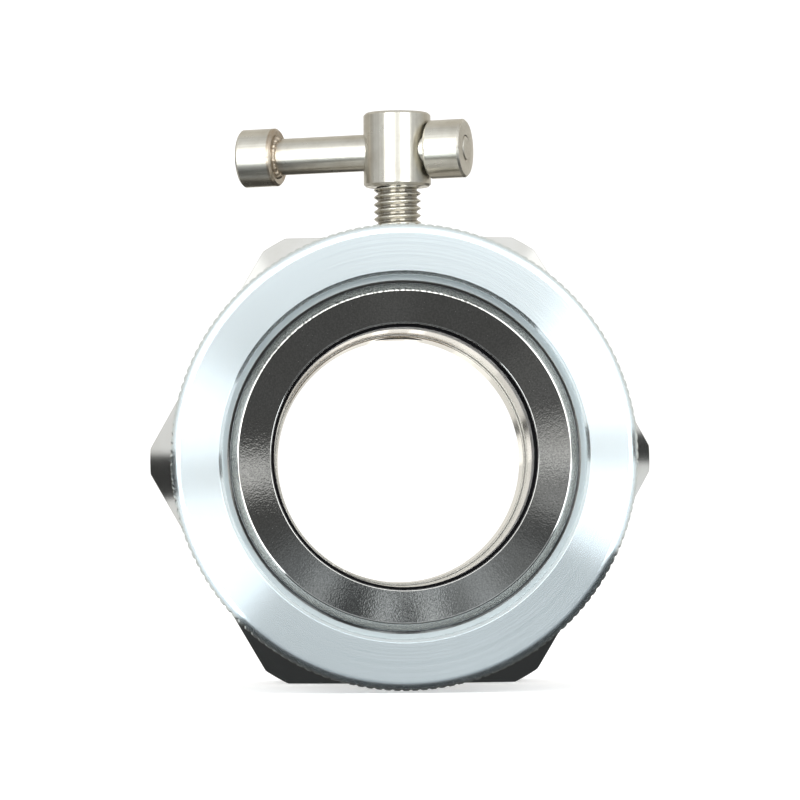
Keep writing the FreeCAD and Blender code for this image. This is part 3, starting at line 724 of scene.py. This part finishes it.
# ---- clamp screw and tommy bar -------------------------------------------------------------------
def make_clamp_screw():
    thread_low = SCREW_TIP + 0.3
    outline = rounded([
        (0, STEM_BOTTOM), (STEM_R, STEM_BOTTOM, 0.2), (STEM_R, CLIP_HEIGHT - 0.4),
        (STEM_NECK_R, CLIP_HEIGHT - 0.4), (STEM_NECK_R, CLIP_HEIGHT + 0.4), (STEM_R, CLIP_HEIGHT + 0.4),
        (STEM_R, SCREW_TIP), (SCREW_R - SCREW_THREAD_DEPTH - 0.2, SCREW_TIP)])
    thread_rows = int((BOSS_BOTTOM - thread_low) / SCREW_PITCH * 20)
    outline += [(SCREW_R, thread_low + (BOSS_BOTTOM - thread_low) * k / thread_rows)
                for k in range(thread_rows + 1)]
    outline += rounded([
        (SCREW_R, BOSS_BOTTOM), (BOSS_R - BOSS_CHAMFER, BOSS_BOTTOM, FINE_EDGE),
        (BOSS_R, BOSS_BOTTOM + BOSS_CHAMFER, FINE_EDGE), (BOSS_R, BOSS_TOP - BOSS_CHAMFER, FINE_EDGE),
        (BOSS_R - BOSS_CHAMFER, BOSS_TOP, FINE_EDGE), (0, BOSS_TOP)])[1:]
    thread = thread_shape(SCREW_R, SCREW_THREAD_DEPTH, SCREW_PITCH, thread_low - 0.5, BOSS_BOTTOM + 0.5)
    piece = turned("clamp_screw_threaded", outline, SCREW_PLACE, segments=128, shape=thread,
                   sharp_deg=THREAD_SHARP_DEG)

    level_side = UP.cross(Vector((BAR_AXIS.x, BAR_AXIS.y, 0)).normalized())
    level_axis = level_side.cross(UP)
    hole_place = (Matrix.Translation(BAR_CENTRE)
                  @ Matrix((level_side, UP, level_axis)).transposed().to_4x4())
    bevel = 0.14

    def hole_outline(angle):
        aside = (BAR_HOLE_R + bevel / 2) * math.cos(angle)
        surface = math.sqrt(BOSS_R ** 2 - aside ** 2)
        flare = BAR_HOLE_R + 2 * bevel
        return [(0, -2 * BOSS_R), (flare, -2 * BOSS_R), (flare, -surface - bevel),
                (BAR_HOLE_R, -surface + bevel), (BAR_HOLE_R, surface - bevel),
                (flare, surface + bevel), (flare, 2 * BOSS_R), (0, 2 * BOSS_R)]

    cut_away(piece, turned("cross_hole_cutter", hole_outline, hole_place, segments=96), THREAD_SHARP_DEG)
    stand_for(piece, "clamp_screw", "screw", SCREW_STEEL)


def make_bar():
    low = WELDED_CAP_FACE - WELDED_CAP_BORE
    end = RIVETED_CAP_FACE + CAP_LENGTH
    piece = turned("tommy_bar_turned", rounded([
        (0, low), (BAR_R, low, SOFT_EDGE), (BAR_R, RIVETED_CAP_FACE), (SPIGOT_R, RIVETED_CAP_FACE),
        (SPIGOT_R, end), (SPIGOT_R - 0.15, end + RIVET_DOME, 0.1), (0, end + RIVET_DOME)]),
        BAR_PLACE, segments=128)
    stand_for(piece, "tommy_bar", "bar", BAR_STEEL)


def make_caps():
    low = RIVETED_CAP_FACE
    high = RIVETED_CAP_FACE + CAP_LENGTH
    riveted = turned("riveted_cap", rounded([
        (SPIGOT_R, low), (CAP_R - CAP_CHAMFER, low, FINE_EDGE), (CAP_R, low + CAP_CHAMFER, FINE_EDGE),
        (CAP_R, high - CAP_CHAMFER, FINE_EDGE), (CAP_R - CAP_CHAMFER, high, FINE_EDGE),
        (SPIGOT_R + 0.3, high), (SPIGOT_R, high - 0.3)]), BAR_PLACE, segments=144)
    stand_for(riveted, "bar_cap_riveted", "bar", BAR_STEEL)
    low = WELDED_CAP_FACE - CAP_LENGTH
    high = WELDED_CAP_FACE
    bore_r = BAR_R + 0.05
    welded = turned("welded_cap", rounded([
        (0, low), (CAP_R - CAP_CHAMFER, low, FINE_EDGE), (CAP_R, low + CAP_CHAMFER, FINE_EDGE),
        (CAP_R, high - CAP_CHAMFER, FINE_EDGE), (CAP_R - CAP_CHAMFER, high, FINE_EDGE), (bore_r, high),
        (bore_r, high - WELDED_CAP_BORE), (0, high - WELDED_CAP_BORE)]), BAR_PLACE, segments=144)
    stand_for(welded, "bar_cap_welded", "bar", BAR_STEEL)


def make_weld():
    beads = ((math.radians(115), 0.55), (math.radians(256), 0.45), (math.radians(20), 0.2))

    def outline_at(angle):
        swell = 0.0
        for where, size in beads:
            off = (angle - where + math.pi) % (2 * math.pi) - math.pi
            swell += size * math.exp(-(off / 0.28) ** 2)
        ripple = noise.noise(Vector((math.cos(angle) * 9, math.sin(angle) * 9, 1.7)))
        leg = 0.42 + 0.12 * ripple + swell * 0.7
        height = 0.40 + 0.15 * ripple + swell
        points = [(BAR_R - 0.02, WELDED_CAP_FACE)]
        for step in range(9):
            turn = math.pi / 2 * step / 8
            points.append((BAR_R + leg * math.cos(turn), WELDED_CAP_FACE + height * math.sin(turn)))
        points.append((BAR_R - 0.02, WELDED_CAP_FACE + height))
        return points

    piece = turned("cap_weld_bead", outline_at, BAR_PLACE, segments=180)
    stand_for(piece, "cap_weld", "bar", WELD_METAL)


# ---- small hidden nodes keep their CAD mesh ------------------------------------------------------
def dress_cad_nodes():
    dressing = {"face_seal": RUBBER, "rear_gasket": PTFE, "neck_gasket": FIBRE, "glass_sleeve": PTFE,
                "slip_washer": WASHER_STEEL, "gland_pins": WIRE_STEEL, "retaining_wire": WIRE_STEEL,
                "pad_clip": WIRE_STEEL, "thrust_pad": PAD_BRASS}
    for node, material in dressing.items():
        mesh = frame["nodes"][node].data
        mesh.materials.clear()
        mesh.materials.append(material)


# ---- studio --------------------------------------------------------------------------------------
CAMERA_PLACE = Vector((-12.96, -629.0, -9.55)) * MM
CAMERA_YAW = 1.198             # degrees to the right of the sight axis
CAMERA_PITCH = 1.811           # degrees up
CAMERA_ROLL = 0.4              # degrees; the object leans anticlockwise
CAMERA_LENS = 165.9
DOME_R = 2.0
SIDE_PANEL = 4.9
TOP_PANEL = 3.75
FOOT_PANEL = 0.45
CARD_REACH = (0.05, 0.15)      # metres from the lens's mirror point, on the tent's wall
CARD_REACH_SOFT = 0.015


class TentLight:
    """Strength of the light tent by direction: polar angle from the viewer's side, angle around it."""

    def __init__(self):
        self.material = bpy.data.materials.new("tent_light")
        self.material.use_nodes = True
        self.material.cycles.emission_sampling = "NONE"
        self.tree = self.material.node_tree
        self.tree.nodes.clear()
        split = self.tree.nodes.new("ShaderNodeSeparateXYZ")
        self.tree.links.new(self.tree.nodes.new("ShaderNodeTexCoord").outputs["Object"], split.inputs[0])
        x, y, z = split.outputs
        degrees = 180 / math.pi
        self.polar = self.math("MULTIPLY", self.math("ARCCOSINE", self.math("MULTIPLY", y, -1 / DOME_R)),
                               degrees)
        self.around = self.math("MULTIPLY", self.math("ARCTAN2", z, x), degrees)
        mirrored = CAMERA_PLACE * (DOME_R / CAMERA_PLACE.y)
        aside = self.math("SUBTRACT", x, mirrored.x)
        up = self.math("SUBTRACT", z, mirrored.z)
        squares = self.math("ADD", self.math("MULTIPLY", aside, aside), self.math("MULTIPLY", up, up))
        self.card_reach = self.math("SQRT", squares)
        self.card_angle = self.math("MULTIPLY", self.math("ARCTAN2", up, aside), degrees)

    def math(self, operation, first, second=0.0):
        made = self.tree.nodes.new("ShaderNodeMath")
        made.operation = operation
        for socket, value in zip(made.inputs, (first, second)):
            if isinstance(value, (int, float)):
                socket.default_value = value
            else:
                self.tree.links.new(value, socket)
        return made.outputs[0]

    def ramp(self, value, low, high):
        """0 below low, 1 above high."""
        made = self.tree.nodes.new("ShaderNodeMapRange")
        made.interpolation_type = "SMOOTHSTEP"
        made.inputs["From Min"].default_value = low
        made.inputs["From Max"].default_value = high
        self.tree.links.new(value, made.inputs["Value"])
        return made.outputs["Result"]

    def band(self, value, low, high, soft):
        return self.math("MULTIPLY", self.ramp(value, low - soft, low + soft),
                         self.math("SUBTRACT", 1.0, self.ramp(value, high - soft, high + soft)))

    def patch(self, sectors, polar_low, polar_high, strength, soft=1.0, polar_soft=2.0):
        """Light of one strength between two polar angles in the given sectors."""
        total = 0.0
        for low, high in sectors:
            total = self.math("ADD", total, self.band(self.around, low, high, soft))
        inside = self.band(self.polar, polar_low, polar_high, polar_soft)
        return self.math("MULTIPLY", self.math("MULTIPLY", total, inside), strength)

    def card(self, sectors, strength, soft=2.0):
        """A strip of card beside the lens, seen by the gland ring's flat face at these bearings."""
        total = 0.0
        for low, high in sectors:
            total = self.math("ADD", total, self.band(self.card_angle, low, high, soft))
        inside = self.band(self.card_reach, *CARD_REACH, CARD_REACH_SOFT)
        return self.math("MULTIPLY", self.math("MULTIPLY", total, inside), strength)

    def finish(self, patches, base):
        total = base
        for patch in patches:
            total = self.math("ADD", total, patch)
        warm = self.ramp(self.polar, 85, 110)
        tint = self.tree.nodes.new("ShaderNodeMix")
        tint.data_type = "RGBA"
        tint.inputs[6].default_value = (0.985, 1.0, 1.0, 1.0)
        tint.inputs[7].default_value = (1.0, 0.965, 0.88, 1.0)
        self.tree.links.new(warm, tint.inputs["Factor"])
        foot = self.band(self.around, -150, -10, 25)
        cool = self.tree.nodes.new("ShaderNodeMix")
        cool.data_type = "RGBA"
        cool.inputs[6].default_value = (0.985, 1.0, 1.0, 1.0)
        cool.inputs[7].default_value = (0.935, 1.0, 1.04, 1.0)
        self.tree.links.new(foot, cool.inputs["Factor"])
        self.tree.links.new(cool.outputs[2], tint.inputs[6])
        emission = self.tree.nodes.new("ShaderNodeEmission")
        self.tree.links.new(tint.outputs[2], emission.inputs["Color"])
        self.tree.links.new(total, emission.inputs["Strength"])
        output = self.tree.nodes.new("ShaderNodeOutputMaterial")
        self.tree.links.new(emission.outputs[0], output.inputs["Surface"])
        return self.material


def tent_material():
    """Two side panels with a gap in each, a lit top, a dark foot and, round the lens, strips of card.

    The bearings and strengths are set to suit the photograph's view of the ring faces."""
    light = TentLight()
    left = [(157, 178), (-170, -136)]
    left_far = [(157, 177.4), (-171.4, -136)]
    left_gap = [(178, 181), (-181, -170)]
    right = [(-23, -1), (9, 40)]
    top = [(40, 157)]
    foot = [(-136, -23)]
    everywhere = [(-181, 181)]
    patches = [
        light.patch(left + right, 13, 44, SIDE_PANEL),
        light.patch(left_gap + [(-1, 9)], 13, 44, 2.7),
        light.patch(top, 13, 44, TOP_PANEL),
        light.patch(foot, 13, 38, FOOT_PANEL),
        light.patch(left_far + [(-23, 0), (7, 40)], 44, 90, 0.95, soft=0.6),
        light.patch([(24, 57), (123, 156)], 44, 72, 0.42, polar_soft=4.0),
        light.patch(top, 44, 72, 1.1, polar_soft=4.0),
        light.patch(top, 72, 90, 0.85, polar_soft=4.0),
        light.patch(left_far + right + [(0, 9)], 90, 200, 0.70, polar_soft=8.0),
        light.patch(top, 90, 200, 0.74, polar_soft=8.0),
        light.patch(foot, 88, 162, 0.04),
        light.patch(foot, 162, 200, 0.95, polar_soft=4.0),
        light.patch([(-136, -23)], 6, 13, 0.75),
        light.patch([(-80, -23)], 6, 13, 0.15, soft=8.0),
        light.card([(-6, 14)], 0.33, 3.0),
        light.card([(-5, 5)], 0.28, 3.0),
        light.card([(-21, -9)], 0.26, 3.0),
        light.card([(-66, -51)], 0.32, 4.0),
        light.card([(-51, -34)], 0.12, 4.0),
        light.card([(-75, -66)], 0.10),
        light.card([(-83, -76)], 0.72, 1.0),
        light.card([(-100, -93)], 0.66, 1.0),
        light.card([(-128, -117)], 0.32, 1.0),
        light.card([(-143, -128)], 0.10, 4.0),
        light.card([(178, 184), (-184, -168)], 0.60, 1.0),
        light.card([(18, 42)], 0.04, 3.0),
        light.card([(86, 103)], 0.02, 3.0),
        light.card([(-190, 190)], 0.045),
        light.patch(everywhere, 0, 200, 0.02)]
    return light.finish(patches, 0.03)


def make_tent():
    """Light tent seen only in reflections on metal."""
    mesh = bpy.data.meshes.new("light_tent")
    rings, sectors = 48, 96
    vertices = []
    for i in range(rings + 1):
        polar = math.pi * i / rings
        for j in range(sectors):
            around = 2 * math.pi * j / sectors
            vertices.append((DOME_R * math.sin(polar) * math.cos(around), -DOME_R * math.cos(polar),
                             DOME_R * math.sin(polar) * math.sin(around)))
    faces = [(i * sectors + j, i * sectors + (j + 1) % sectors, (i + 1) * sectors + (j + 1) % sectors,
              (i + 1) * sectors + j) for i in range(rings) for j in range(sectors)]
    mesh.from_pydata(vertices, [], faces)
    mesh.materials.append(tent_material())
    tent = bpy.data.objects.new("light_tent", mesh)
    bpy.context.scene.collection.objects.link(tent)
    tent.visible_camera = False
    tent.visible_diffuse = False
    tent.visible_transmission = False
    tent.visible_shadow = False


def make_floor():
    """Plain pale floor under the hexagon's lower flat."""
    half = 1.9
    mesh = bpy.data.meshes.new("floor")
    level = HEX_LOW.z - 0.0001
    mesh.from_pydata([(-half, -half, level), (half, -half, level), (half, half, level), (-half, half, level)],
                     [], [(0, 1, 2, 3)])
    floor = bpy.data.objects.new("floor", mesh)
    bpy.context.scene.collection.objects.link(floor)
    shader = Shader("pale_floor", (0.9, 0.9, 0.9), 0.0, 0.85)
    grain = shader.noise(shader.place, 300.0, 3.0)
    shader.bump(grain, 0.02, 0.05)
    shader.bsdf.inputs["Emission Color"].default_value = (1.0, 1.0, 1.0, 1.0)
    shader.bsdf.inputs["Emission Strength"].default_value = 0.45
    mesh.materials.append(shader.material)
    floor.visible_glossy = False


def make_world():
    world = bpy.data.worlds.new("white_backdrop")
    world.use_nodes = True
    background = world.node_tree.nodes["Background"]
    background.inputs["Color"].default_value = (1.0, 1.0, 1.0, 1.0)
    background.inputs["Strength"].default_value = 1.15
    bpy.context.scene.world = world


def make_camera():
    """Long lens, a little left of and below the sight axis, turned slightly right and up."""
    data = bpy.data.cameras.new("camera")
    data.sensor_width = 36.0
    data.lens = CAMERA_LENS
    data.clip_start = 0.01
    data.clip_end = 20.0
    camera = bpy.data.objects.new("camera", data)
    bpy.context.scene.collection.objects.link(camera)
    turn = (Matrix.Rotation(math.radians(-CAMERA_YAW), 4, "Z")
            @ Matrix.Rotation(math.radians(90 + CAMERA_PITCH), 4, "X")
            @ Matrix.Rotation(math.radians(-CAMERA_ROLL), 4, "Z"))
    camera.matrix_world = Matrix.Translation(CAMERA_PLACE) @ turn
    bpy.context.scene.camera = camera


make_hex_body()
make_neck()
make_glass_stack()
make_gland()
make_ring_nut()
make_clamp_screw()
make_bar()
make_caps()
make_weld()
dress_cad_nodes()
make_tent()
make_floor()
make_world()
make_camera()
bpy.context.scene.view_settings.view_transform = "Standard"
